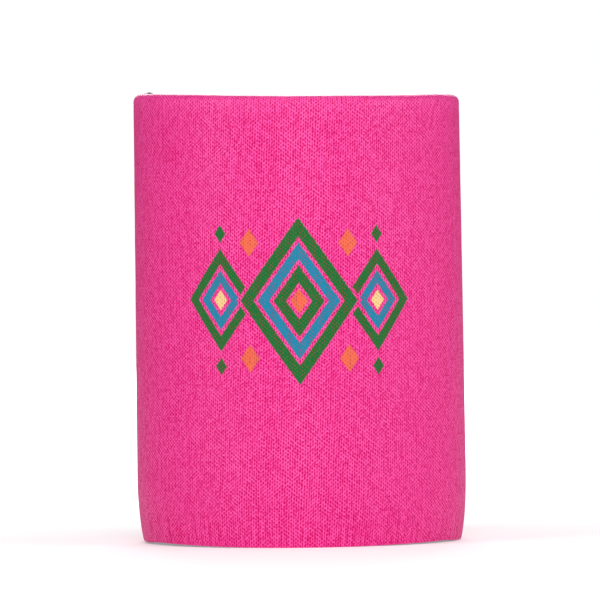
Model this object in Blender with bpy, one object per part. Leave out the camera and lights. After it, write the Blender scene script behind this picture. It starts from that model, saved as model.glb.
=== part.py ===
"""A can cooler sleeve: an open tube of fabric-faced foam, sewn together from two panels.

The front and the back panel are half tubes of the same laminate. Their side edges are butted, and
a zigzag lockstitch joins them: a needle thread outside and a bobbin thread inside, both sunk in the
channel that they press into the foam. The sleeve stands on its hem, round as it is in use, with its
axis on Z, the middle of the front panel towards -Y and the cut edge of the hem at z = 0.
"""

import math

import bmesh
import bpy
from mathutils import Vector

# The tube, in metres
HEIGHT = 0.0970
BORE_RADIUS = 0.0331
WALL = 0.00230
FLARE = 0.00043
HEM_WALL = 0.00150
HEM_REACH = 0.0140
HEM_EDGE = 0.0003

# The lip: lower at the middle of each panel than at the seams, rolled over outside
LIP_DIP = 0.0012
LIP_ROUND = 0.0014
LIP_EDGE = 0.0003
LIP_MOST_OF_WALL = 0.6

# The butted edges and the channel pressed along them
SEAM_GAP = 0.0003
CHANNEL_FLAT = 0.0014
CHANNEL_REACH = 0.0032
CHANNEL_SINK_OUTSIDE = 0.00050
CHANNEL_SINK_INSIDE = 0.00035

# The zigzag stitches
THREAD_RADIUS = 0.00018
THREAD_CLEARANCE = 0.00015
STITCH_HALF_WIDTH = 0.0012
STITCH_PITCH = 0.0030
STITCH_INSET = 0.0008
STITCH_TIP = 0.10

# How finely the curves are divided
MIDDLE_ROWS = 32
CHANNEL_ROWS = 6
HEM_STATIONS = 6
BODY_STATIONS = 6
LIP_STATIONS = 5
INNER_STATIONS = 4
THREAD_CORNERS_ADDED = 1
CREASE_ANGLE = math.radians(35)

KNIT_PINK = (0.86, 0.07, 0.32, 1.0)
THREAD_PINK = (0.80, 0.06, 0.29, 1.0)
FOAM_DARK = (0.02, 0.018, 0.024, 1.0)


def material(name, colour, roughness):
    """A plain finish of one colour."""
    made = bpy.data.materials.new(name)
    made.use_nodes = True
    shader = made.node_tree.nodes["Principled BSDF"]
    shader.inputs["Base Color"].default_value = colour
    shader.inputs["Roughness"].default_value = roughness
    shader.inputs["Metallic"].default_value = 0.0
    made.diffuse_color = colour
    return made


def outer_radius(height):
    """Radius of the outer face at a height, clear of the seams: a slight flare, drawn in at the hem."""
    flared = BORE_RADIUS + WALL + FLARE * (1.0 - height / HEIGHT)
    drawn_in = WALL + FLARE - HEM_WALL
    return flared - drawn_in * max(0.0, 1.0 - height / HEM_REACH) ** 2


def channel_depth(from_edge):
    """How far the stitches press the laminate at a distance from its sewn edge: 1 is all the way, 0 not at all."""
    across = (from_edge - CHANNEL_FLAT) / (CHANNEL_REACH - CHANNEL_FLAT)
    across = min(1.0, max(0.0, across))
    return 1.0 - across * across * (3.0 - 2.0 * across)


def steps(start, end, count):
    """Evenly spaced values from start to end, both included."""
    return [start + (end - start) * i / count for i in range(count + 1)]


def section(from_edge):
    """The laminate's cross-section at a distance from its sewn edge.

    Returns (outside, inside): the (radius, height) points up the outer face and over the lip, and
    those from the lip down the inner face to the hem.
    """
    pressed = channel_depth(from_edge)
    inner = BORE_RADIUS + CHANNEL_SINK_INSIDE * pressed

    def outer(height):
        return outer_radius(height) - CHANNEL_SINK_OUTSIDE * pressed

    lip = min(LIP_ROUND, LIP_MOST_OF_WALL * (outer(HEIGHT) - inner))
    shoulder = HEIGHT - lip
    outside = [(outer(0.0) - HEM_EDGE, 0.0)]
    outside += [(outer(z), z) for z in steps(HEM_EDGE, HEM_REACH, HEM_STATIONS)]
    outside += [(outer(z), z) for z in steps(HEM_REACH, shoulder, BODY_STATIONS)[1:]]
    for turn in steps(0.0, math.pi / 2, LIP_STATIONS)[1:]:
        outside.append((outer(shoulder) - lip * (1.0 - math.cos(turn)), shoulder + lip * math.sin(turn)))
    inside = [(inner + LIP_EDGE, HEIGHT)]
    inside += [(inner, z) for z in steps(HEIGHT - LIP_EDGE, HEM_EDGE, INNER_STATIONS)]
    inside.append((inner + HEM_EDGE, 0.0))
    return outside, inside


def panel_rows():
    """Distances of the panel's rows from one of its sewn edges, along the bore: close in the channels, wide between."""
    width = math.pi * BORE_RADIUS - SEAM_GAP
    near = steps(0.0, CHANNEL_REACH, CHANNEL_ROWS)
    middle = steps(CHANNEL_REACH, width - CHANNEL_REACH, MIDDLE_ROWS)[1:-1]
    far = [width - x for x in reversed(near)]
    return near + middle + far, width


def panel_mesh(name, face, core):
    """One half tube of laminate, its middle towards -Y, lofted through its rows and closed at both edges."""
    rows, width = panel_rows()
    mesh = bpy.data.meshes.new(name)
    mesh.materials.append(face)
    mesh.materials.append(core)
    bm = bmesh.new()
    loops = []
    for along in rows:
        outside, inside = section(min(along, width - along))
        angle = (along - width / 2) / BORE_RADIUS
        level = 1.0 - LIP_DIP / HEIGHT * math.cos(angle) ** 2
        out = Vector((math.sin(angle), -math.cos(angle), 0.0))
        loops.append([bm.verts.new(out * r + Vector((0.0, 0.0, z * level))) for r, z in outside + inside])
    count = len(loops[0])
    for near, far in zip(loops, loops[1:]):
        for i in range(count):
            j = (i + 1) % count
            quad = bm.faces.new((near[i], far[i], far[j], near[j]))
            quad.material_index = 0 if i < len(outside) - 1 else 1
    for edge in (loops[0], loops[-1]):
        bm.faces.new(edge).material_index = 1
    bmesh.ops.recalc_face_normals(bm, faces=bm.faces)
    bm.to_mesh(mesh)
    bm.free()
    mesh.shade_smooth()
    mesh.set_sharp_from_angle(angle=CREASE_ANGLE)
    return mesh


def add_panel(name, mesh, turn, parent):
    """A panel, turned about the tube's axis."""
    panel = bpy.data.objects.new(name, mesh)
    panel.rotation_euler.z = turn
    panel.parent = parent
    bpy.context.collection.objects.link(panel)


def zigzag(radius_at):
    """The thread's route beside the seam at +X, hem to lip: two points a stitch, so that each tip is blunt.

    radius_at gives the thread's distance from the tube's axis at a height.
    """
    lowest = LIP_ROUND + STITCH_INSET
    highest = HEIGHT - LIP_ROUND - STITCH_INSET
    stitches = max(2, round((highest - lowest) / STITCH_PITCH))
    pitch = (highest - lowest) / stitches
    route = []
    for stitch in range(stitches):
        side = 1.0 if stitch % 2 else -1.0
        for along in (STITCH_TIP, 1.0 - STITCH_TIP):
            height = lowest + (stitch + along) * pitch
            radius = radius_at(height)
            angle = side * STITCH_HALF_WIDTH * (1.0 - 2.0 * along) / (1.0 - 2.0 * STITCH_TIP) / radius
            route.append(Vector((radius * math.cos(angle), radius * math.sin(angle), height)))
    return route


def needle_radius(height):
    """The needle thread lies on the channel's floor, outside."""
    return outer_radius(height) - CHANNEL_SINK_OUTSIDE + THREAD_CLEARANCE + THREAD_RADIUS


def bobbin_radius(height):
    """The bobbin thread lies on the channel's floor, inside."""
    return BORE_RADIUS + CHANNEL_SINK_INSIDE - THREAD_CLEARANCE - THREAD_RADIUS


def add_thread(name, radius_at, turn, finish, parent):
    """One thread of a seam, turned about the tube's axis from +X."""
    curve = bpy.data.curves.new(name, "CURVE")
    curve.dimensions = "3D"
    curve.bevel_depth = THREAD_RADIUS
    curve.bevel_resolution = THREAD_CORNERS_ADDED
    curve.use_fill_caps = True
    route = zigzag(radius_at)
    spline = curve.splines.new("POLY")
    spline.points.add(len(route) - 1)
    for point, place in zip(spline.points, route):
        point.co = (*place, 1.0)
    curve.materials.append(finish)
    thread = bpy.data.objects.new(name, curve)
    thread.rotation_euler.z = turn
    thread.parent = parent
    bpy.context.collection.objects.link(thread)


def main():
    """Clears the scene and builds the sleeve."""
    for old in list(bpy.data.objects):
        bpy.data.objects.remove(old, do_unlink=True)
    axis = bpy.data.objects.new("sleeve_axis", None)
    bpy.context.collection.objects.link(axis)
    face = material("knit_face", KNIT_PINK, 0.85)
    core = material("foam_and_lining", FOAM_DARK, 0.95)
    laminate = panel_mesh("laminate_panel", face, core)
    add_panel("front_panel", laminate, 0.0, axis)
    add_panel("back_panel", laminate, math.pi, axis)
    sewn = material("seam_thread", THREAD_PINK, 0.6)
    for side, turn in (("right", 0.0), ("left", math.pi)):
        add_thread(f"{side}_needle_thread", needle_radius, turn, sewn, axis)
        add_thread(f"{side}_bobbin_thread", bobbin_radius, turn, sewn, axis)


main()
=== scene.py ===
"""Looks of a can cooler sleeve: two panels of knit-faced foam and the zigzag seams that join them.

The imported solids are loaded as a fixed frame. The panels and the threads are made again around them in
Geometry Nodes, finer and softer, and dressed with procedural finishes. A pale floor, soft lights and the
camera complete the scene. Lengths are in metres, +Z is up and the middle of the front panel faces -Y.
"""

import logging
import math
from collections.abc import Mapping
from dataclasses import dataclass
from enum import Enum
from typing import Any

import bpy
from mathutils import Matrix, Vector

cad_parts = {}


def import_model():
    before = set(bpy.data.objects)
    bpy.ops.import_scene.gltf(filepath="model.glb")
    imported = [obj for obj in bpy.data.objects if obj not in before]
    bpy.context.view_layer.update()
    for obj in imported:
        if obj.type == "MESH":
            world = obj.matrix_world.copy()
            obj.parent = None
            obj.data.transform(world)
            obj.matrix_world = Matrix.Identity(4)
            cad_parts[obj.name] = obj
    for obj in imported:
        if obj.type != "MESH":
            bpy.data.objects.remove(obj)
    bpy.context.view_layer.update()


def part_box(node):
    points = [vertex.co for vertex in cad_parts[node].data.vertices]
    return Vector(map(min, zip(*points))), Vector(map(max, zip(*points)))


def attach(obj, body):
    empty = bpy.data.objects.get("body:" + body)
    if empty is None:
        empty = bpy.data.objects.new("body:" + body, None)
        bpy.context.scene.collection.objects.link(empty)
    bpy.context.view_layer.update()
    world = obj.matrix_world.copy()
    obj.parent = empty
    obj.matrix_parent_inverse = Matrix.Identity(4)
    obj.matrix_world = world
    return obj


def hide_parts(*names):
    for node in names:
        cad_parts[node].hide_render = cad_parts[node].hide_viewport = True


LOG = logging.getLogger("sleeve")
MM = 0.001
FULL_TURN = 2.0 * math.pi
CLOTH_MAP = "cloth"

Colour = tuple[float, float, float, float]
BLACK: Colour = (0.0, 0.0, 0.0, 1.0)
WHITE: Colour = (1.0, 1.0, 1.0, 1.0)


def find_socket(sockets: bpy.types.bpy_prop_collection, name: str) -> bpy.types.NodeSocket:
    """Finds a socket of a node by its identifier, or else by its name.

    Args:
        sockets: The node's inputs or outputs.
        name: The identifier or the name.

    Returns:
        The socket.
    """
    for socket in sockets:
        if socket.identifier == name:
            return socket
    for socket in sockets:
        if socket.name == name:
            return socket
    raise KeyError(f"no socket named {name!r}")


class Signal:
    """A node's output that takes part in Python arithmetic. Each operator adds one Math node."""

    def __init__(self, graph: "Graph", socket: bpy.types.NodeSocket) -> None:
        """Wraps a socket of the graph's tree."""
        self.graph = graph
        self.socket = socket

    def math(self, operation: str, *others: "Signal | float") -> "Signal":
        """Adds a Math node whose first value is this signal.

        Args:
            operation: The Math node's operation.
            others: Its second and third values, where it has them.

        Returns:
            The node's result.
        """
        return self.graph.math(operation, self, *others)

    def __add__(self, other: "Signal | float") -> "Signal":
        """self + other."""
        return self.math("ADD", other)

    def __radd__(self, other: float) -> "Signal":
        """other + self."""
        return self.graph.math("ADD", other, self)

    def __sub__(self, other: "Signal | float") -> "Signal":
        """self - other."""
        return self.math("SUBTRACT", other)

    def __rsub__(self, other: float) -> "Signal":
        """other - self."""
        return self.graph.math("SUBTRACT", other, self)

    def __mul__(self, other: "Signal | float") -> "Signal":
        """self * other."""
        return self.math("MULTIPLY", other)

    def __rmul__(self, other: float) -> "Signal":
        """other * self."""
        return self.graph.math("MULTIPLY", other, self)

    def __truediv__(self, other: "Signal | float") -> "Signal":
        """self / other."""
        return self.math("DIVIDE", other)

    def __rtruediv__(self, other: float) -> "Signal":
        """other / self."""
        return self.graph.math("DIVIDE", other, self)

    def __mod__(self, other: "Signal | float") -> "Signal":
        """self % other."""
        return self.math("FLOORED_MODULO", other)

    def __pow__(self, other: "Signal | float") -> "Signal":
        """self ** other."""
        return self.math("POWER", other)

    def __neg__(self) -> "Signal":
        """-self."""
        return self.math("MULTIPLY", -1.0)

    def __abs__(self) -> "Signal":
        """abs(self)."""
        return self.math("ABSOLUTE")

    def __gt__(self, other: "Signal | float") -> "Signal":
        """1 where self > other, else 0."""
        return self.math("GREATER_THAN", other)

    def __lt__(self, other: "Signal | float") -> "Signal":
        """1 where self < other, else 0."""
        return self.math("LESS_THAN", other)

    def sin(self) -> "Signal":
        """The sine."""
        return self.math("SINE")

    def cos(self) -> "Signal":
        """The cosine."""
        return self.math("COSINE")

    def sqrt(self) -> "Signal":
        """The square root."""
        return self.math("SQRT")

    def floor(self) -> "Signal":
        """The next lower whole number."""
        return self.math("FLOOR")

    def fract(self) -> "Signal":
        """What lies above the next lower whole number."""
        return self.math("FRACT")

    def at_least(self, other: "Signal | float") -> "Signal":
        """The larger of the two."""
        return self.math("MAXIMUM", other)

    def at_most(self, other: "Signal | float") -> "Signal":
        """The smaller of the two."""
        return self.math("MINIMUM", other)

    def within(self, low: float, high: float) -> "Signal":
        """The signal, kept between two values."""
        return self.at_least(low).at_most(high)

    def ramp(self, low: "Signal | float", high: "Signal | float") -> "Signal":
        """A smooth step from 0 at low to 1 at high.

        Args:
            low: Where the step starts.
            high: Where it ends.

        Returns:
            The step.
        """
        sockets = {"Value": self, "From Min": low, "From Max": high}
        return self.graph.node("ShaderNodeMapRange", {"interpolation_type": "SMOOTHSTEP"}, sockets)["Result"]


class Block:
    """A node of a graph, whose outputs are read as signals."""

    def __init__(self, graph: "Graph", node: bpy.types.Node) -> None:
        """Wraps a node."""
        self.graph = graph
        self.node = node

    def __getitem__(self, name: str) -> Signal:
        """The output of that name."""
        return Signal(self.graph, find_socket(self.node.outputs, name))


class Graph:
    """Fills a node tree. One method makes any node, and signals make the arithmetic."""

    def __init__(self, tree: bpy.types.NodeTree) -> None:
        """Takes the tree to fill."""
        self.tree = tree

    def node(
        self,
        kind: str,
        settings: Mapping[str, Any] | None = None,
        sockets: Mapping[str, Any] | None = None,
    ) -> Block:
        """Adds a node.

        Args:
            kind: The node's type.
            settings: Its properties, set first.
            sockets: Values or signals for its inputs, by identifier or name.

        Returns:
            The node, wrapped.
        """
        made = self.tree.nodes.new(kind)
        for name, value in (settings or {}).items():
            setattr(made, name, value)
        for name, value in (sockets or {}).items():
            socket = find_socket(made.inputs, name)
            if isinstance(value, Signal):
                self.tree.links.new(value.socket, socket)
            else:
                socket.default_value = value
        return Block(self, made)

    def math(self, operation: str, *values: Signal | float) -> Signal:
        """Adds a Math node.

        Args:
            operation: Its operation.
            values: One to three signals or numbers.

        Returns:
            Its result.
        """
        names = ("Value", "Value_001", "Value_002")
        return self.node("ShaderNodeMath", {"operation": operation}, dict(zip(names, values)))["Value"]

    def vector(self, x: Signal | float, y: Signal | float, z: Signal | float) -> Signal:
        """Joins three values to a vector."""
        return self.node("ShaderNodeCombineXYZ", None, {"X": x, "Y": y, "Z": z})["Vector"]

    def split(self, vector: Signal) -> tuple[Signal, Signal, Signal]:
        """The three values of a vector."""
        parts = self.node("ShaderNodeSeparateXYZ", None, {"Vector": vector})
        return parts["X"], parts["Y"], parts["Z"]

    def noise(self, at: Signal, scale: float, detail: float = 2.0, dimensions: str = "3D") -> Signal:
        """Smooth noise about 0.

        Args:
            at: Where it is read.
            scale: Features in each metre.
            detail: Finer octaves.
            dimensions: The noise's dimensions, "2D" or "3D".

        Returns:
            The noise, mostly from -0.5 to 0.5.
        """
        sockets = {"Vector": at, "Scale": scale, "Detail": detail}
        return self.node("ShaderNodeTexNoise", {"noise_dimensions": dimensions}, sockets)["Fac"] - 0.5

    def mix(self, factor: Signal | float, a: Signal | Colour, b: Signal | Colour) -> Signal:
        """Mixes two colours.

        Args:
            factor: 0 for the first colour, 1 for the second.
            a: The first colour.
            b: The second colour.

        Returns:
            The mixed colour.
        """
        sockets = {"Factor_Float": factor, "A_Color": a, "B_Color": b}
        return self.node("ShaderNodeMix", {"data_type": "RGBA"}, sockets)["Result_Color"]


class ShapeTree(Graph):
    """A Geometry Nodes tree with named inputs, which becomes the mesh of one piece."""

    def __init__(self, name: str) -> None:
        """Starts an empty tree with one geometry output.

        Args:
            name: The tree's name.
        """
        super().__init__(bpy.data.node_groups.new(name, "GeometryNodeTree"))
        self.tree.interface.new_socket("Geometry", in_out="OUTPUT", socket_type="NodeSocketGeometry")
        self.inputs = self.node("NodeGroupInput")
        self.values: dict[str, Any] = {}

    def given(self, name: str, value: Any, kind: str = "NodeSocketFloat") -> Signal:
        """Declares a named input and the value that the modifier gives it.

        Args:
            name: The input's name.
            value: A number or a material.
            kind: The socket's type.

        Returns:
            The input as a signal.
        """
        item = self.tree.interface.new_socket(name, in_out="INPUT", socket_type=kind)
        self.values[item.identifier] = value
        return self.inputs[item.identifier]

    def store(
        self, geometry: Signal, name: str, value: Signal, data_type: str = "FLOAT", domain: str = "POINT"
    ) -> Signal:
        """Keeps a value on the geometry as a named attribute.

        Args:
            geometry: The geometry.
            name: The attribute's name.
            value: What to keep.
            data_type: The attribute's type.
            domain: Where it is kept.

        Returns:
            The geometry with the attribute.
        """
        settings = {"data_type": data_type, "domain": domain}
        sockets = {"Geometry": geometry, "Name": name, "Value": value}
        return self.node("GeometryNodeStoreNamedAttribute", settings, sockets)["Geometry"]

    def kept(self, name: str, data_type: str = "FLOAT") -> Signal:
        """The value of a named attribute."""
        settings = {"data_type": data_type}
        return self.node("GeometryNodeInputNamedAttribute", settings, {"Name": name})["Attribute"]

    def place(self, geometry: Signal, position: Signal) -> Signal:
        """Moves each point of the geometry to a position."""
        sockets = {"Geometry": geometry, "Position": position}
        return self.node("GeometryNodeSetPosition", None, sockets)["Geometry"]

    def line(self, end: tuple[float, float, float], points: int) -> Signal:
        """Adds a straight line from the origin.

        Args:
            end: Where it ends.
            points: How many evenly spaced points it has.

        Returns:
            The line.
        """
        line = self.node("GeometryNodeCurvePrimitiveLine", {"mode": "POINTS"}, {"End": end})["Curve"]
        sockets = {"Curve": line, "Count": points}
        return self.node("GeometryNodeResampleCurve", {"mode": "COUNT"}, sockets)["Curve"]

    def position(self) -> tuple[Signal, Signal, Signal]:
        """The three values of each point's place."""
        return self.split(self.node("GeometryNodeInputPosition")["Position"])

    def way(self) -> Signal:
        """How far along its curve a point lies, from 0 to 1."""
        return self.node("GeometryNodeSplineParameter")["Factor"]

    def sweep(self, curve: Signal, profile: Signal) -> Signal:
        """The closed mesh that a profile leaves along a curve."""
        sockets = {"Curve": curve, "Profile Curve": profile, "Fill Caps": True}
        return self.node("GeometryNodeCurveToMesh", None, sockets)["Mesh"]

    def realized(self, geometry: Signal) -> Signal:
        """The geometry with its instances made real."""
        return self.node("GeometryNodeRealizeInstances", None, {"Geometry": geometry})["Geometry"]

    def dress(
        self, mesh: Signal, name: str, finish: bpy.types.Material, where: Signal | bool = True
    ) -> Signal:
        """Gives faces a material.

        Args:
            mesh: The mesh.
            name: The name of the input that holds the material.
            finish: The material.
            where: Which faces.

        Returns:
            The dressed mesh.
        """
        material = self.given(name, finish, "NodeSocketMaterial")
        sockets = {"Geometry": mesh, "Selection": where, "Material": material}
        return self.node("GeometryNodeSetMaterial", None, sockets)["Geometry"]

    def shade(self, mesh: Signal, crease: float) -> Signal:
        """Shades a mesh smooth, apart from its sharp edges.

        Args:
            mesh: The mesh.
            crease: The angle between faces, in radians, past which an edge is sharp.

        Returns:
            The shaded mesh.
        """
        sockets = {"Geometry": mesh, "Shade Smooth": True}
        smooth = self.node("GeometryNodeSetShadeSmooth", {"domain": "FACE"}, sockets)["Geometry"]
        angle = self.node("GeometryNodeInputMeshEdgeAngle")["Unsigned Angle"]
        sockets = {"Geometry": smooth, "Selection": angle > crease, "Shade Smooth": False}
        return self.node("GeometryNodeSetShadeSmooth", {"domain": "EDGE"}, sockets)["Geometry"]

    def output(self, geometry: Signal) -> None:
        """Links the tree's result."""
        self.node("NodeGroupOutput", None, {"Geometry": geometry})

    def become(self, name: str) -> bpy.types.Object:
        """Runs the tree and keeps its result as a plain mesh.

        Args:
            name: The piece's name.

        Returns:
            The piece, at the origin, with no modifier.
        """
        piece = bpy.data.objects.new(name, bpy.data.meshes.new(f"{name}_start"))
        bpy.context.scene.collection.objects.link(piece)
        modifier = piece.modifiers.new(self.tree.name, "NODES")
        modifier.node_group = self.tree
        for identifier, value in self.values.items():
            modifier[identifier] = value
        graph = bpy.context.evaluated_depsgraph_get()
        made = piece.evaluated_get(graph)
        mesh = bpy.data.meshes.new_from_object(made, preserve_all_data_layers=True, depsgraph=graph)
        mesh.name = name
        if mesh.materials[0] is None:
            mesh.materials.pop(index=0)
        piece.modifiers.remove(modifier)
        start = piece.data
        piece.data = mesh
        bpy.data.meshes.remove(start)
        bpy.data.node_groups.remove(self.tree)
        return piece


class MaterialGraph(Graph):
    """The node tree of a new material, with one Principled shader."""

    def __init__(self, name: str) -> None:
        """Makes the material and empties its tree.

        Args:
            name: The material's name.
        """
        self.material = bpy.data.materials.new(name)
        self.material.use_nodes = True
        super().__init__(self.material.node_tree)
        self.tree.nodes.clear()

    def cloth(self) -> tuple[Signal, Signal, Signal]:
        """Adds the piece's own map, the place on the flat cloth.

        Returns:
            The place as a vector, and its two values: across the panel and up, in metres.
        """
        vector = self.node("ShaderNodeUVMap", {"uv_map": CLOTH_MAP})["UV"]
        u, v, _ = self.split(vector)
        return vector, u, v

    def grain(self, at: Signal, scale: float, detail: float = 2.0) -> Signal:
        """Smooth noise about 0 over the flat cloth, with so many features in each metre."""
        return self.noise(at, scale, detail, "2D")

    def object_place(self) -> Signal:
        """The place on the piece, in metres."""
        return self.node("ShaderNodeTexCoord")["Object"]

    def bump(self, height: Signal, distance: float) -> Signal:
        """The normal of a relief, whose height of 1 stands at a distance above 0."""
        sockets = {"Height": height, "Distance": distance, "Strength": 1.0}
        return self.node("ShaderNodeBump", None, sockets)["Normal"]

    def finish(self, sockets: Mapping[str, Any]) -> bpy.types.Material:
        """Adds the shader and the output.

        Args:
            sockets: The shader's inputs.

        Returns:
            The material.
        """
        shader = self.node("ShaderNodeBsdfPrincipled", None, sockets)
        self.node("ShaderNodeOutputMaterial", None, {"Surface": shader["BSDF"]})
        return self.material


class Ink(Enum):
    """Colours of the printed design, linear."""

    GREEN = (0.001, 0.132, 0.021, 1.0)
    TEAL = (0.001, 0.195, 0.320, 1.0)
    ORANGE = (0.730, 0.132, 0.060, 1.0)
    CREAM = (0.810, 0.550, 0.230, 1.0)


@dataclass(frozen=True)
class Band:
    """One printed ring of a lozenge, between two shares of the lozenge's size."""

    inner: float
    outer: float
    ink: Ink


@dataclass(frozen=True)
class Lozenge:
    """A lozenge of the printed design, with its rings. Its twins stand across the two middle lines."""

    across: float
    up: float
    half_width: float
    half_height: float
    bands: tuple[Band, ...]


@dataclass(frozen=True)
class Ornament:
    """A geometric print: a chain of ringed lozenges with small ones between them."""

    middle_height: float = 53.0 * MM
    edge_softness: float = 0.10 * MM
    edge_wander: float = 0.16 * MM
    margin: float = 0.9 * MM
    lozenges: tuple[Lozenge, ...] = (
        Lozenge(
            17.2 * MM,
            0.0,
            7.8 * MM,
            11.0 * MM,
            (
                Band(0.70, 1.00, Ink.GREEN),
                Band(0.32, 0.58, Ink.TEAL),
                Band(0.00, 0.20, Ink.CREAM),
            ),
        ),
        Lozenge(
            0.0,
            0.0,
            12.6 * MM,
            18.0 * MM,
            (
                Band(0.77, 1.00, Ink.GREEN),
                Band(0.50, 0.70, Ink.TEAL),
                Band(0.22, 0.43, Ink.GREEN),
                Band(0.00, 0.15, Ink.ORANGE),
            ),
        ),
        Lozenge(10.6 * MM, 12.4 * MM, 2.1 * MM, 3.0 * MM, (Band(0.0, 1.0, Ink.ORANGE),)),
        Lozenge(17.2 * MM, 14.2 * MM, 1.3 * MM, 1.9 * MM, (Band(0.0, 1.0, Ink.GREEN),)),
    )

    def print_on(
        self, graph: MaterialGraph, across: Signal, up: Signal, cloth: Signal
    ) -> tuple[Signal, Signal]:
        """Adds the design to a material.

        Args:
            graph: The material's graph.
            across: The distance to the right of the panel's middle.
            up: The height above the hem.
            cloth: The thickness of yarn under each point, from 0 to 1, from which ink wanders.

        Returns:
            How much ink covers each point, and the ink's colour.
        """
        wander = (cloth - 0.5) * self.edge_wander
        side = abs(across) + wander
        above = abs(up - self.middle_height + wander)
        cover: Signal | float = 0.0
        colour: Signal | Colour = Ink.GREEN.value
        for lozenge in self.lozenges:
            beside = abs(side - lozenge.across) / lozenge.half_width
            share = abs(above - lozenge.up) / lozenge.half_height + beside
            soft = self.edge_softness / lozenge.half_width
            clear = 1.0 + self.margin / lozenge.half_width
            if isinstance(cover, Signal):
                cover = cover * share.ramp(clear - soft, clear + soft)
            for band in lozenge.bands:
                mask = 1.0 - share.ramp(band.outer - soft, band.outer + soft)
                if band.inner > 0.0:
                    mask = mask * share.ramp(band.inner - soft, band.inner + soft)
                colour = graph.mix(mask, colour, band.ink.value)
                cover = mask.at_least(cover)
        return cover, colour


@dataclass(frozen=True)
class Knit:
    """A jersey of V-shaped loops. Wales run up the cloth, and courses across it."""

    wale: float = 1.02 * MM
    course: float = 0.825 * MM
    wale_tilt: float = 0.038
    course_tilt: float = 0.055
    drift: float = 0.42 * MM
    drift_scale: float = 260.0
    drift_stretch: float = 0.35
    drift_up: float = 0.5
    lean_scale: float = 230.0
    lean: float = 1.8
    steepest: float = 0.45
    upright: float = 1.5
    uneven: float = 0.9
    fibre_scale: float = 2300.0
    fibre: float = 3.0
    yarn_round: float = 0.92
    gap_depth: float = 0.55
    yarn_relief: float = 0.85
    fibre_relief: float = 0.25

    def loops(self, graph: MaterialGraph) -> tuple[Signal, Signal]:
        """Adds the loops to a material.

        The pits between the loops stand in a centred lattice. It is the sum of two sets of slanted rows
        and one of upright ribs. Which of the slanted ones is stronger changes from patch to patch, as the
        yarn is pulled one way or the other.

        Args:
            graph: The material's graph.

        Returns:
            The lattice, below 0 on the legs of the loops and above 1 in a pit, and the yarn's height, from
            0 to 1.
        """
        place, u, v = graph.cloth()
        pulled = graph.vector(u, v * self.drift_stretch, 0.0)
        wander = graph.grain(pulled, self.drift_scale) * self.drift
        wales = (u - v * self.wale_tilt + wander) / self.wale
        courses = (v - u * self.course_tilt + wander * self.drift_up) / self.course
        lean = graph.grain(place, self.lean_scale) * self.lean
        lean = lean.within(-self.steepest, self.steepest)
        falling = ((wales + courses) * FULL_TURN).cos()
        rising = ((wales - courses) * FULL_TURN).cos()
        upright = (wales * (2.0 * FULL_TURN)).cos()
        lattice = (falling * (1.0 + lean) + rising * (1.0 - lean) + upright * self.upright) * 0.5
        cell = graph.vector((wales * 2.0 + 0.5).floor(), (courses + 0.25).floor(), 0.0)
        random = graph.node("ShaderNodeTexWhiteNoise", {"noise_dimensions": "2D"}, {"Vector": cell})["Value"]
        lattice = lattice + (random - 0.5) * self.uneven
        lattice = lattice + graph.grain(place, self.fibre_scale, 1.0) * self.fibre
        out = abs((wales + 0.5).fract() - 0.5)
        off_leg = abs(out - 0.25) * 4.0
        gap = ((courses - out) * FULL_TURN).cos() * 0.5 + 0.5
        yarn = (1.0 - off_leg * off_leg * self.yarn_round).sqrt() * (1.0 - gap * self.gap_depth)
        return lattice, yarn

    def normal(self, graph: MaterialGraph, yarn: Signal, fibre: Signal, relief: float) -> Signal:
        """Adds the normal of the knit's relief.

        Args:
            graph: The material's graph.
            yarn: The yarn's height, from 0 to 1.
            fibre: Noise about 0, for the loose fibres on it.
            relief: How far the yarn stands up.

        Returns:
            The normal.
        """
        return graph.bump(yarn * self.yarn_relief + fibre * self.fibre_relief, relief)


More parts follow.
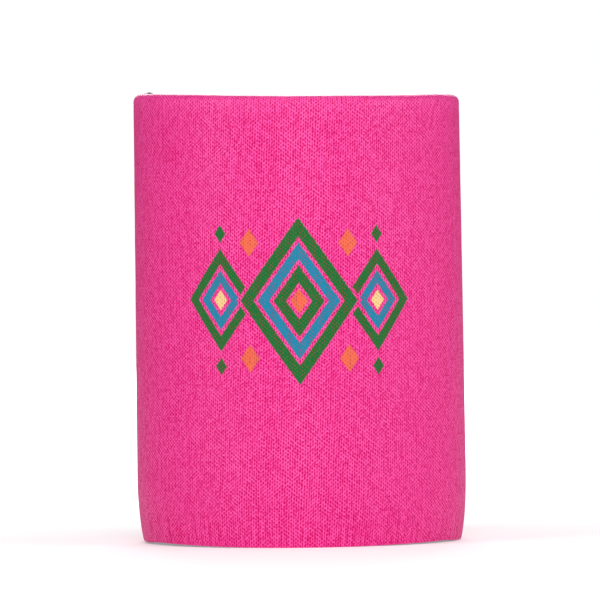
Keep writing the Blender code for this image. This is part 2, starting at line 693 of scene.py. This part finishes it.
@dataclass(frozen=True)
class KnitFace:
    """The pink knit that faces the panels, plain or printed."""

    name: str
    knit: Knit
    lip_level: float
    ornament: Ornament | None = None
    # The crown colour is paler, a painted highlight on the tops of the loops; the pit colour is darker,
    # painted shade in the holes between them.
    crown_highlight_colour: Colour = (0.795, 0.0740, 0.326, 1.0)
    colour: Colour = (0.655, 0.0025, 0.166, 1.0)
    pit_shade_colour: Colour = (0.490, 0.0005, 0.086, 1.0)
    fray_and_highlight_colour: Colour = (0.960, 0.150, 0.480, 1.0)
    # Unevenness of the knit, with ribs above the hem
    patch_scale: float = 240.0
    patchiness: float = 0.6
    streak_scale: float = 1300.0
    streak_stretch: float = 0.05
    streak: float = 0.5
    rib_reach: float = 9.0 * MM
    ribs: float = 5.4
    fibre_scale: float = 6000.0
    fibre: float = 0.8
    # Where the lattice becomes a pit, and where it stops being a crown
    pit_range: tuple[float, float] = (0.25, 1.45)
    crown_range: tuple[float, float] = (-1.10, 0.35)
    # Paler fibres at the cut hem, and a painted highlight of pale haze towards the lip
    fray: float = 0.30 * MM
    frayed: float = 0.6
    lip_highlight_reach: float = 6.0 * MM
    lip_highlight: float = 0.17
    roughness: float = 0.36
    pit_roughness: float = 0.5
    leg_roughness: float = 0.14
    fibre_roughness: float = 0.2
    # How the print takes on the knit
    ink_roughness: float = 0.5
    pit_shade_through_ink: float = 0.30
    streaks_through_ink: float = 0.3
    fibre_through_ink: float = 0.2
    bare_pits: float = 0.25
    relief: float = 0.035 * MM

    def make(self) -> bpy.types.Material:
        """Makes the material.

        Returns:
            The finished material.
        """
        graph = MaterialGraph(self.name)
        lattice, yarn = self.knit.loops(graph)
        place, u, v = graph.cloth()
        patches = graph.grain(place, self.patch_scale)
        streaks = graph.grain(graph.vector(u, v * self.streak_stretch, 0.0), self.streak_scale)
        fibre = graph.grain(place, self.fibre_scale)
        ribbed = 1.0 + (1.0 - v.ramp(0.0, self.rib_reach)) * self.ribs
        shade = lattice * (1.0 + patches * self.patchiness)
        shade = shade + streaks * ribbed * self.streak + fibre * self.fibre
        pit = shade.ramp(*self.pit_range)
        crown = 1.0 - shade.ramp(*self.crown_range)
        # Painted highlight on the crowns and painted shade in the pits.
        colour = graph.mix(crown, self.colour, self.crown_highlight_colour)
        colour = graph.mix(pit, colour, self.pit_shade_colour)
        colour = graph.mix((1.0 - v.ramp(0.0, self.fray)) * self.frayed, colour, self.fray_and_highlight_colour)
        # Painted highlight: the knit is painted paler towards the lip, as if lit from above, except in the
        # pits.
        lip_highlight = v.ramp(self.lip_level - self.lip_highlight_reach, self.lip_level) * self.lip_highlight
        colour = graph.mix(lip_highlight * (1.0 - pit), colour, self.fray_and_highlight_colour)
        rough = self.roughness + fibre * self.fibre_roughness + pit * self.pit_roughness
        rough = rough + (1.0 - crown) * self.leg_roughness
        if self.ornament is not None:
            cover, ink = self.ornament.print_on(graph, u, v, yarn)
            # The ink is darkened towards black in the pits, painted shade, and along the knit's streaks and
            # fibres.
            shown = pit * self.pit_shade_through_ink + streaks * self.streaks_through_ink
            shown = (shown + fibre * self.fibre_through_ink).at_least(0.0)
            ink = graph.mix(shown, ink, BLACK)
            colour = graph.mix(cover * (1.0 - pit * self.bare_pits), colour, ink)
            rough = rough + cover * self.ink_roughness
        return graph.finish(
            {
                "Base Color": colour,
                "Roughness": rough,
                "Normal": self.knit.normal(graph, yarn, fibre, self.relief),
                "Specular IOR Level": 0.36,
                "Specular Tint": (0.85, 0.62, 0.95, 1.0),
            }
        )


@dataclass(frozen=True)
class Lining:
    """The dark knit inside."""

    name: str
    knit: Knit
    colour: Colour = (0.056, 0.052, 0.060, 1.0)
    hole_shade_and_mottle_colour: Colour = (0.006, 0.005, 0.007, 1.0)
    fibre_scale: float = 5200.0
    patch_scale: float = 120.0
    darkness: float = 0.4
    depth: float = 0.5
    mottle: float = 0.6
    roughness: float = 0.8
    fibre_roughness: float = 0.2
    relief: float = 0.14 * MM

    def make(self) -> bpy.types.Material:
        """Makes the material.

        Returns:
            The finished material.
        """
        graph = MaterialGraph(self.name)
        lattice, yarn = self.knit.loops(graph)
        place, _, _ = graph.cloth()
        fibre = graph.grain(place, self.fibre_scale)
        patches = graph.grain(place, self.patch_scale)
        # Darker in the holes between the loops, painted shade, and in random fibres and patches.
        dark = (lattice * self.depth + self.darkness + (fibre + patches) * self.mottle).within(0.0, 1.0)
        return graph.finish(
            {
                "Base Color": graph.mix(dark, self.colour, self.hole_shade_and_mottle_colour),
                "Roughness": self.roughness + fibre * self.fibre_roughness,
                "Normal": self.knit.normal(graph, yarn, fibre, self.relief),
                "Specular IOR Level": 0.30,
                "Sheen Weight": 0.18,
                "Sheen Roughness": 0.5,
            }
        )


@dataclass(frozen=True)
class CutFoam:
    """The dark foam where the laminate is cut: small open cells."""

    name: str
    colour: Colour = (0.030, 0.022, 0.034, 1.0)
    wall_colour: Colour = (0.075, 0.060, 0.080, 1.0)
    cells: float = 6200.0
    wall_range: tuple[float, float] = (0.02, 0.16)
    wall_strength: float = 0.8
    blotch_scale: float = 900.0
    blotchiness: float = 0.5
    roughness: float = 0.92
    blotch_roughness: float = 0.1
    relief: float = 0.10 * MM

    def make(self) -> bpy.types.Material:
        """Makes the material.

        Returns:
            The finished material.
        """
        graph = MaterialGraph(self.name)
        place = graph.object_place()
        sockets = {"Vector": place, "Scale": self.cells}
        cell = graph.node("ShaderNodeTexVoronoi", {"feature": "DISTANCE_TO_EDGE"}, sockets)["Distance"]
        wall = 1.0 - cell.ramp(*self.wall_range)
        blotch = graph.noise(place, self.blotch_scale)
        shown = (wall * self.wall_strength + blotch * self.blotchiness).within(0.0, 1.0)
        return graph.finish(
            {
                "Base Color": graph.mix(shown, self.colour, self.wall_colour),
                "Roughness": self.roughness + blotch * self.blotch_roughness,
                "Normal": graph.bump(wall, self.relief),
                "Specular IOR Level": 0.25,
            }
        )


@dataclass(frozen=True)
class SewingThread:
    """Plied polyester thread, with hair-fine filaments along each ply."""

    name: str
    colour: Colour = (0.930, 0.120, 0.420, 1.0)
    shade_colour: Colour = (0.560, 0.018, 0.170, 1.0)
    groove: float = 0.75
    filament_scale: float = 9000.0
    filament: float = 0.5
    mottle_scale: float = 700.0
    mottle: float = 0.4
    roughness: float = 0.5
    filament_roughness: float = 0.3
    relief: float = 0.03 * MM

    def make(self) -> bpy.types.Material:
        """Makes the material.

        Returns:
            The finished material.
        """
        graph = MaterialGraph(self.name)
        place = graph.object_place()
        ply = graph.node("ShaderNodeAttribute", {"attribute_name": "ply"})["Fac"]
        filaments = graph.noise(place, self.filament_scale)
        mottle = graph.noise(place, self.mottle_scale)
        # The grooves between the plies are darkened, painted shade; filaments and mottle vary the tone.
        dark = (1.0 - ply) * self.groove + filaments * self.filament + mottle * self.mottle
        return graph.finish(
            {
                "Base Color": graph.mix(dark.within(0.0, 1.0), self.colour, self.shade_colour),
                "Roughness": self.roughness + filaments * self.filament_roughness,
                "Normal": graph.bump(filaments + 0.5, self.relief),
                "Specular IOR Level": 0.45,
                "Sheen Weight": 0.15,
                "Sheen Roughness": 0.4,
            }
        )


@dataclass(frozen=True)
class Tube:
    """Sizes that the panels and the seams share: the sleeve's section and the channel along each seam."""

    height: float
    bore_radius: float = 33.1 * MM
    wall: float = 2.30 * MM
    flare: float = 0.43 * MM
    hem_wall: float = 1.50 * MM
    hem_reach: float = 14.0 * MM
    lip_round: float = 1.7 * MM
    channel_flat: float = 1.4 * MM
    channel_reach: float = 3.2 * MM
    sink_outside: float = 0.50 * MM
    sink_inside: float = 0.35 * MM
    stitch_pitch: float = 3.0 * MM
    stitch_inset: float = 0.5 * MM
    stitch_half_width: float = 1.2 * MM
    # How the sleeve is drawn in just above the hem and has settled on what it was worn on
    nap: float = 0.03 * MM
    tuck: float = 0.11 * MM
    tuck_reach: float = 2.2 * MM
    lip_drop: float = 0.18 * MM
    lip_dip: float = 1.2 * MM
    lip_skew: float = 0.4 * MM
    hem_rise: float = 0.62 * MM
    hem_skew: float = 0.12 * MM
    corner_drop: float = 0.40 * MM
    corner_range: tuple[float, float] = (0.88, 0.99)
    lean: float = 0.35 * MM

    @property
    def first_stitch(self) -> float:
        """Height of the lowest needle hole."""
        return self.lip_round + self.stitch_inset

    @property
    def stitches(self) -> int:
        """Stitches in each seam."""
        return max(2, round((self.height - 2.0 * self.first_stitch) / self.stitch_pitch))

    @property
    def pitch(self) -> float:
        """Height of each stitch, so that a whole number fits."""
        return (self.height - 2.0 * self.first_stitch) / self.stitches

    def outer_radius(self, tree: ShapeTree, level: Signal) -> Signal:
        """Adds the radius of the outer face, clear of the seams.

        Args:
            tree: The tree that needs it.
            level: The height above the hem.

        Returns:
            The radius there: a slight flare, drawn in at the hem.
        """
        flare = tree.given("Flare", self.flare)
        drawn_in = self.wall + self.flare - self.hem_wall
        above = (1.0 - level / tree.given("Hem Reach", self.hem_reach)).at_least(0.0)
        last = (1.0 - level / self.tuck_reach).at_least(0.0)
        drawn_in = above * above * drawn_in + last * last * self.tuck
        return self.bore_radius + self.wall + self.nap + flare * (1.0 - level / self.height) - drawn_in

    def settled(self, right: Signal, level: Signal) -> tuple[Signal, Signal]:
        """Adds how the sleeve has settled: both edges ride up towards the seams, and it leans a little.

        Args:
            right: The distance to the right of the axis.
            level: The height above the hem.

        Returns:
            The distance and the height after that.
        """
        share = level / self.height
        sideways = (right / (self.bore_radius + self.wall * 0.5)).within(-1.0, 1.0)
        beside = sideways * sideways
        dip = (1.0 - beside) * self.lip_dip + sideways * self.lip_skew + self.lip_drop
        rise = beside * (self.hem_rise - sideways * self.hem_skew)
        rise = rise - abs(sideways).ramp(*self.corner_range) * self.corner_drop
        return right + (1.0 - share) * self.lean, level - share * dip + (1.0 - share) * rise


@dataclass(frozen=True)
class Crease:
    """A shallow ridge in the knit where the laminate buckles beside a seam."""

    turn: float
    level: float
    half_length: float
    half_width: float
    rise: float


class Side(Enum):
    """The two panels, by how far each is turned about the axis."""

    FRONT = 0.0
    BACK = math.pi


@dataclass(frozen=True)
class Panel:
    """Half of the sleeve: knit face, foam and lining in one bonded sheet."""

    tube: Tube
    side: Side
    # The lip waves over the top share of the height
    lip_wave: float = 0.35 * MM
    wave_scale: float = 60.0
    wave_from: float = 0.80
    # At the far left of the lip the bare core stands up, between shares of the radius and of the wall
    core_rise: float = 0.36 * MM
    core_from: float = 0.97
    core_starts: tuple[float, float] = (0.915, 0.945)
    core_ends: tuple[float, float] = (0.95, 1.0)
    core_covered: tuple[float, float] = (0.20, 0.28)
    # The sewn edges, which the stitches draw into each other, and their needle holes
    edge_round: float = 0.22 * MM
    seam_gap: float = -0.01 * MM
    butt_round: float = 0.55 * MM
    butt_depth: float = 0.50 * MM
    hole_radius: float = 0.60 * MM
    hole_depth: float = 0.28 * MM
    # The unevenness of the outer face
    relief: float = 0.09 * MM
    swell_scale: float = 95.0
    dent_scale: float = 330.0
    dents: float = 0.35
    knit_thickness: float = 0.35 * MM
    lining_thickness: float = 0.35 * MM
    # How finely the sheet is divided
    columns: int = 160
    crowding: float = 0.80
    row_spacing: float = 0.50 * MM
    corner_points: int = 6
    crease_angle: float = math.radians(38.0)
    seed: float = 0.037
    crease_bow: float = 1.2
    creases: tuple[Crease, ...] = (
        Crease(math.radians(-70.0), 9.6 * MM, 2.8 * MM, 0.6 * MM, 0.15 * MM),
        Crease(math.radians(-71.0), 4.3 * MM, 2.4 * MM, 0.55 * MM, 0.13 * MM),
    )

    def _profile(self, tree: ShapeTree) -> Signal:
        """Adds the laminate's cross-section: a long box with rounded corners, cut into short rows.

        Args:
            tree: The panel's tree.

        Returns:
            The closed curve, with its own place kept as "section": X from the bore outwards, Y upwards.
        """
        wall = tree.given("Wall", self.tube.wall)
        height = tree.given("Height", self.tube.height)
        sockets = {"Width": wall, "Height": height}
        box = tree.node("GeometryNodeCurvePrimitiveQuadrilateral", {"mode": "RECTANGLE"}, sockets)["Curve"]
        sockets = {"Geometry": box, "Translation": tree.vector(wall * 0.5, height * 0.5, 0.0)}
        box = tree.node("GeometryNodeTransform", None, sockets)["Geometry"]
        place = tree.node("GeometryNodeInputPosition")["Position"]
        x, y, _ = tree.split(place)
        at_lip = (x > wall * 0.5) * (y > height * 0.5)
        edge = tree.given("Edge Rounding", self.edge_round)
        radius = edge + (tree.given("Lip Rounding", self.tube.lip_round) - edge) * at_lip
        sockets = {"Curve": box, "Count": self.corner_points, "Radius": radius}
        rounded = tree.node("GeometryNodeFilletCurve", {"mode": "POLY"}, sockets)["Curve"]
        index = tree.node("GeometryNodeInputIndex")["Index"]
        following = (index + 1.0) % tree.node("GeometryNodeSplineLength")["Point Count"]
        sockets = {"Value": place, "Index": following}
        ahead = tree.node("GeometryNodeFieldAtIndex", {"data_type": "FLOAT_VECTOR"}, sockets)["Value"]
        sockets = {"Vector": place, "Vector_001": ahead}
        span = tree.node("ShaderNodeVectorMath", {"operation": "DISTANCE"}, sockets)["Value"]
        spacing = tree.given("Row Spacing", self.row_spacing) * (1.0 + (x < wall * 0.25))
        cuts = (span / spacing).floor()
        rows = tree.node("GeometryNodeSubdivideCurve", None, {"Curve": rounded, "Cuts": cuts})["Curve"]
        return tree.store(rows, "section", place, "FLOAT_VECTOR")

    def _path(self, tree: ShapeTree, half: Signal) -> Signal:
        """Adds the way across the panel, with its columns crowded towards both seams.

        Args:
            tree: The panel's tree.
            half: Half of the panel's width along the bore.

        Returns:
            A line that keeps "along", the distance from the panel's middle.
        """
        line = tree.line((1.0, 0.0, 0.0), self.columns + 1)
        share = tree.way()
        crowded = share - (share * FULL_TURN).sin() * (self.crowding / FULL_TURN)
        return tree.store(line, "along", (1.0 - crowded * 2.0) * half)

    def _holes(self, tree: ShapeTree, along: Signal, from_edge: Signal, level: Signal) -> Signal:
        """Adds the dimples that the stitches pull round their needle holes.

        Args:
            tree: The panel's tree.
            along: The distance from the panel's middle.
            from_edge: The distance from the nearer sewn edge.
            level: The height above the hem.

        Returns:
            1 in the middle of a hole, falling to 0 round it.
        """
        tube = self.tube
        parity = 1.0 - (along > 0.0)
        pair = ((level - tube.first_stitch) / tube.pitch - parity) * 0.5
        beside = (pair - (pair + 0.5).floor()) * (2.0 * tube.pitch)
        inset = tube.stitch_half_width * tube.bore_radius / (tube.bore_radius + tube.wall)
        off = from_edge - inset
        apart = (beside * beside + off * off).sqrt()
        return 1.0 - apart.ramp(0.0, tree.given("Hole Radius", self.hole_radius))

    def _buckles(self, angle: Signal, level: Signal) -> Signal | float:
        """Adds the creases beside the seams.

        Args:
            angle: The turn about the axis from the panel's middle.
            level: The height above the hem.

        Returns:
            How far they lift the knit.
        """
        lifted: Signal | float = 0.0
        for crease in self.creases:
            beside = abs(angle - crease.turn) * (self.tube.bore_radius / crease.half_length)
            bowed = beside * beside * (crease.half_width * self.crease_bow)
            above = abs(level - crease.level + bowed) / crease.half_width
            ridge = (1.0 - beside.ramp(0.0, 1.0)) * (1.0 - above.ramp(0.0, 1.0))
            lifted = ridge * crease.rise + lifted
        return lifted

    def build(
        self, face: bpy.types.Material, foam: bpy.types.Material, lining: bpy.types.Material
    ) -> bpy.types.Object:
        """Makes the panel.

        Args:
            face: The knit outside.
            foam: The cut edges.
            lining: The knit inside.

        Returns:
            The finished piece.
        """
        tube = self.tube
        tree = ShapeTree("laminate_panel")
        bore = tree.given("Bore Radius", tube.bore_radius)
        half = bore * (math.pi / 2.0) - tree.given("Seam Gap", self.seam_gap) * 0.5
        mesh = tree.sweep(self._path(tree, half), self._profile(tree))

        along = tree.kept("along")
        depth, level, _ = tree.split(tree.kept("section", "FLOAT_VECTOR"))
        angle = along / bore
        turned = angle + tree.given("Turn", self.side.value)
        across = depth / tube.wall
        from_edge = half - abs(along)
        pressed = 1.0 - from_edge.ramp(tube.channel_flat, tube.channel_reach)
        butt = (1.0 - from_edge / self.butt_round).at_least(0.0)
        rolled = 1.0 - (1.0 - butt * butt).at_least(0.0).sqrt()
        holes = self._holes(tree, along, from_edge, level)
        straight = tree.vector(turned.sin() * bore, turned.cos() * -bore, level + self.seed)
        swell = tree.noise(straight, self.dent_scale, 1.0) * self.dents
        swell = swell + tree.noise(straight, self.swell_scale, 1.0)
        outer = tube.outer_radius(tree, level) - pressed * tube.sink_outside
        outer = outer - rolled * self.butt_depth - holes * self.hole_depth + swell * self.relief
        if self.side is Side.FRONT:
            outer = outer + self._buckles(angle, level)
        inner = bore + pressed * tube.sink_inside
        inner = inner + (rolled * self.butt_depth + holes * self.hole_depth) * 0.5
        radius = inner + (outer - inner) * across

        share = level / tube.height
        right, raised = tube.settled(turned.sin() * radius, level)
        rim = tree.vector(turned.sin() * bore, turned.cos() * bore, self.seed)
        raised = raised + share.ramp(self.wave_from, 1.0) * tree.noise(rim, self.wave_scale) * self.lip_wave
        if self.side is Side.FRONT:
            leftwards = -turned.sin()
            bare = leftwards.ramp(*self.core_starts) * (1.0 - leftwards.ramp(*self.core_ends))
            bare = bare * (1.0 - across.ramp(*self.core_covered))
            raised = raised + share.ramp(self.core_from, 1.0) * bare * self.core_rise
        mesh = tree.place(mesh, tree.vector(right, turned.cos() * -radius, raised))

        stretch = (tube.bore_radius + tube.wall) / tube.bore_radius
        cloth = tree.vector(along * stretch, level + tube.wall - depth, 0.0)
        mesh = tree.store(mesh, CLOTH_MAP, cloth, "FLOAT2", "CORNER")
        at_lip = level > tube.height * 0.5
        knit_edge = self.knit_thickness + at_lip * (tube.lip_round - self.knit_thickness)
        is_lining = depth < self.lining_thickness
        is_foam = (depth > self.lining_thickness) * (depth < tube.wall - knit_edge)
        mesh = tree.realized(tree.shade(mesh, self.crease_angle))
        mesh = tree.dress(mesh, "Face", face)
        mesh = tree.dress(mesh, "Lining", lining, is_lining)
        mesh = tree.dress(mesh, "Foam", foam, is_foam)
        tree.output(mesh)
        return tree.become(f"{self.side.name.lower()}_laminate")


class Layer(Enum):
    """The two threads of a lockstitch, and which way each bulges from the laminate."""

    NEEDLE = 1.0
    BOBBIN = -1.0


class Seam(Enum):
    """The two seams, by how far each is turned about the axis from +X."""

    RIGHT = 0.0
    LEFT = math.pi


@dataclass(frozen=True)
class SeamThread:
    """One thread of a zigzag seam: a strand for each stitch, diving into a needle hole at both ends."""

    tube: Tube
    seam: Seam
    layer: Layer
    thread_radius: float = 0.21 * MM
    clearance: float = -0.03 * MM
    dive: float = 0.60 * MM
    dive_power: float = 6.0
    plies: int = 3
    ply_depth: float = 0.20
    twists: float = 3.4
    path_points: int = 22
    points_round: int = 12
    wobble: float = 0.10 * MM
    wobble_scale: float = 260.0
    crease_angle: float = math.radians(60.0)

    def _strand(self, tree: ShapeTree) -> Signal:
        """Adds one stitch, upright along Z about the origin, with its bulge towards X.

        Args:
            tree: The thread's tree.

        Returns:
            The strand's mesh.
        """
        tube = self.tube
        length = math.hypot(tube.pitch, 2.0 * tube.stitch_half_width)
        line = tree.line((0.0, 0.0, 1.0), self.path_points)
        share = tree.way()
        tilt = {"Curve": line, "Tilt": share * (self.twists * FULL_TURN)}
        line = tree.node("GeometryNodeSetCurveTilt", None, tilt)["Curve"]
        ends = abs(share * 2.0 - 1.0)
        bulge = tree.given("Thread Radius", self.thread_radius) + self.clearance
        bulge = bulge - ends**self.dive_power * self.dive
        line = tree.place(line, tree.vector(bulge * self.layer.value, 0.0, (share - 0.5) * length))
        sockets = {"Resolution": self.points_round, "Radius": 1.0}
        ring = tree.node("GeometryNodeCurvePrimitiveCircle", {"mode": "RADIUS"}, sockets)["Curve"]
        lobe = (tree.way() * (FULL_TURN * self.plies)).cos() * 0.5 + 0.5
        ring = tree.store(ring, "ply", lobe)
        reach = (1.0 - self.ply_depth + lobe * self.ply_depth) * self.thread_radius
        x, y, _ = tree.position()
        ring = tree.place(ring, tree.vector(x * reach, y * reach, 0.0))
        return tree.sweep(line, ring)

    def build(self, finish: bpy.types.Material) -> bpy.types.Object:
        """Makes the thread.

        Args:
            finish: The thread's material.

        Returns:
            The finished piece.
        """
        tube = self.tube
        tree = ShapeTree("zigzag_thread")
        pitch = tree.given("Pitch", tube.pitch)
        index = tree.node("GeometryNodeInputIndex")["Index"]
        centre = tree.vector(0.0, 0.0, tree.given("First Stitch", tube.first_stitch) + (index + 0.5) * pitch)
        count = tree.given("Stitches", tube.stitches, "NodeSocketInt")
        points = tree.node("GeometryNodePoints", None, {"Count": count, "Position": centre})["Points"]
        lean = math.atan2(2.0 * tube.stitch_half_width, tube.pitch)
        side = (index % 2.0) * 2.0 - 1.0
        sockets = {"Euler": tree.vector(side * lean, 0.0, 0.0)}
        turn = tree.node("FunctionNodeEulerToRotation", None, sockets)["Rotation"]
        sockets = {"Points": points, "Instance": self._strand(tree), "Rotation": turn}
        mesh = tree.realized(tree.node("GeometryNodeInstanceOnPoints", None, sockets)["Instances"])

        off, beside, level = tree.position()
        floor: Signal | float = tube.bore_radius + tube.sink_inside
        if self.layer is Layer.NEEDLE:
            floor = tube.outer_radius(tree, level) - tube.sink_outside
        radius = floor + off
        strand = tree.vector(level, self.seam.value, self.layer.value)
        uneven = tree.noise(strand, self.wobble_scale, 1.0) * self.wobble
        angle = (beside + uneven) / radius + tree.given("Turn", self.seam.value)
        right, raised = tube.settled(angle.cos() * radius, level)
        mesh = tree.place(mesh, tree.vector(right, angle.sin() * radius, raised))
        mesh = tree.shade(mesh, self.crease_angle)
        mesh = tree.dress(mesh, "Thread", finish)
        tree.output(mesh)
        return tree.become(f"{self.seam.name.lower()}_{self.layer.name.lower()}_stitches")

    @property
    def node(self) -> str:
        """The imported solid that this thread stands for."""
        return f"{self.seam.name.lower()}_{self.layer.name.lower()}_thread"


@dataclass(frozen=True)
class Sleeve:
    """The can cooler sleeve: two panels and the four threads of its seams."""

    tube: Tube
    knit: Knit = Knit()
    firmness: float = 0.9

    def build(self) -> list[bpy.types.Object]:
        """Makes every piece, dresses it and sets it on the frame.

        Returns:
            The pieces.
        """
        printed = KnitFace("printed_pink_knit", self.knit, self.tube.height, Ornament()).make()
        plain = KnitFace("plain_pink_knit", self.knit, self.tube.height).make()
        foam = CutFoam("cut_foam").make()
        lining = Lining("dark_lining", self.knit).make()
        thread = SewingThread("pink_thread").make()
        pieces = []
        for side, face in ((Side.FRONT, printed), (Side.BACK, plain)):
            piece = Panel(self.tube, side).build(face, foam, lining)
            self._settle(piece, f"{side.name.lower()}_panel")
            pieces.append(piece)
        for seam in Seam:
            for layer in Layer:
                part = SeamThread(self.tube, seam, layer)
                piece = part.build(thread)
                self._settle(piece, part.node)
                pieces.append(piece)
        return pieces

    def _settle(self, piece: bpy.types.Object, node: str) -> None:
        """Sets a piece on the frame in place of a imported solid.

        Args:
            piece: The piece.
            node: The solid that it stands for.
        """
        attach(piece, "root")
        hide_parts(node)
        LOG.info("%s: %d faces for %s", piece.name, len(piece.data.polygons), node)


@dataclass(frozen=True)
class Softbox:
    """A square soft light that faces the sleeve, by its turn to the right of the camera and its height."""

    name: str
    azimuth: float
    elevation: float
    size: float
    power: float
    distance: float = 2.0

    def place(self, aim: Vector) -> Vector:
        """Works out where the light stands.

        Args:
            aim: The point that it faces.

        Returns:
            Its place.
        """
        turn = math.radians(self.azimuth)
        rise = math.radians(self.elevation)
        level = math.cos(rise)
        return aim + self.distance * Vector((math.sin(turn) * level, -math.cos(turn) * level, math.sin(rise)))


@dataclass(frozen=True)
class Studio:
    """A pale floor, soft lights and the camera."""

    floor_radius: float = 2.4
    floor_corners: int = 64
    floor_colour: Colour = (0.86, 0.86, 0.86, 1.0)
    # The floor's glow, seen by the camera only: dim near the sleeve, a painted shadow round its base, and
    # white further out.
    painted_shadow_glow: Colour = (0.24, 0.24, 0.24, 1.0)
    far_glow: Colour = WHITE
    glow_from: float = 0.04
    glow_to: float = 0.40
    ambient: float = 0.09
    backdrop: float = 1.02
    aim: tuple[float, float, float] = (0.0, 0.0, 0.05)
    lights: tuple[Softbox, ...] = (
        Softbox("front_softbox", 2.0, 11.0, 0.7, 12.5),
        Softbox("high_softbox", 6.0, 38.0, 1.1, 8.0),
        Softbox("left_softbox", -57.0, 18.0, 0.9, 19.5),
        Softbox("right_softbox", 60.0, 16.0, 0.9, 16.5),
        Softbox("side_softbox", 100.0, 18.0, 0.9, 4.5),
        Softbox("back_softbox", 180.0, 24.0, 0.9, 18.0),
        Softbox("top_softbox", 0.0, 88.0, 1.8, 10.0),
    )
    distance: float = 1.25
    eye_height: float = 0.0605
    sideways: float = 0.00035
    pitch_down: float = math.radians(0.38)
    roll: float = math.radians(0.63)
    lens: float = 345.0
    sensor: float = 36.0
    nearest: float = 0.01
    farthest: float = 20.0

    def build(self) -> None:
        """Makes the floor, the lights and the camera."""
        self._floor()
        self._surroundings()
        for light in self.lights:
            self._softbox(light)
        self._camera()

    def _floor(self) -> None:
        """Makes the floor: a wide pale disc at the height of the hem. For the camera it glows white, dimmer
        near the sleeve, which paints a pool of shadow round its base.
        """
        graph = MaterialGraph("pale_floor")
        x, y, _ = graph.split(graph.object_place())
        far = (x * x + y * y).sqrt().ramp(self.glow_from, self.glow_to)
        finish = graph.finish(
            {
                "Base Color": self.floor_colour,
                "Roughness": 0.9,
                "Specular IOR Level": 0.1,
                "Emission Color": graph.mix(far, self.painted_shadow_glow, self.far_glow),
                "Emission Strength": graph.node("ShaderNodeLightPath")["Is Camera Ray"],
            }
        )
        turns = [FULL_TURN * i / self.floor_corners for i in range(self.floor_corners)]
        mesh = bpy.data.meshes.new("floor")
        rim = [(self.floor_radius * math.cos(a), self.floor_radius * math.sin(a), 0.0) for a in turns]
        mesh.from_pydata(rim, [], [tuple(range(self.floor_corners))])
        mesh.materials.append(finish)
        floor = bpy.data.objects.new("floor", mesh)
        bpy.context.scene.collection.objects.link(floor)

    def _surroundings(self) -> None:
        """Makes the even white light that comes from all round."""
        world = bpy.data.worlds.new("white_studio")
        world.use_nodes = True
        graph = Graph(world.node_tree)
        graph.tree.nodes.clear()
        seen = graph.node("ShaderNodeLightPath")["Is Camera Ray"]
        strength = seen * (self.backdrop - self.ambient) + self.ambient
        sockets = {"Color": WHITE, "Strength": strength}
        shader = graph.node("ShaderNodeBackground", None, sockets)
        graph.node("ShaderNodeOutputWorld", None, {"Surface": shader["Background"]})
        bpy.context.scene.world = world
        bpy.context.scene.view_settings.view_transform = "Standard"

    def _softbox(self, light: Softbox) -> None:
        """Makes one soft light.

        Args:
            light: Its direction, size and power.
        """
        aim = Vector(self.aim)
        place = light.place(aim)
        lamp = bpy.data.lights.new(light.name, "AREA")
        lamp.shape = "SQUARE"
        lamp.size = light.size
        lamp.energy = light.power
        placed = bpy.data.objects.new(light.name, lamp)
        placed.location = place
        placed.rotation_euler = (aim - place).to_track_quat("-Z", "Y").to_euler()
        bpy.context.scene.collection.objects.link(placed)

    def _camera(self) -> None:
        """Makes the camera at the photograph's viewing angle."""
        data = bpy.data.cameras.new("camera")
        data.lens = self.lens
        data.sensor_width = self.sensor
        data.clip_start = self.nearest
        data.clip_end = self.farthest
        camera = bpy.data.objects.new("camera", data)
        place = Matrix.Translation((self.sideways, -self.distance, self.eye_height))
        tilt = Matrix.Rotation(math.pi / 2.0 - self.pitch_down, 4, "X")
        camera.matrix_world = place @ tilt @ Matrix.Rotation(-self.roll, 4, "Z")
        bpy.context.scene.collection.objects.link(camera)
        bpy.context.scene.camera = camera


def main() -> None:
    """Loads the frame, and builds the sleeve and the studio."""
    logging.basicConfig(level=logging.INFO, format="%(name)s: %(message)s")
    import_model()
    tube = Tube(height=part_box("front_panel")[1].z)
    pieces = Sleeve(tube).build()
    Studio().build()
    LOG.info("%d pieces", len(pieces))


if __name__ == "__main__":
    main()
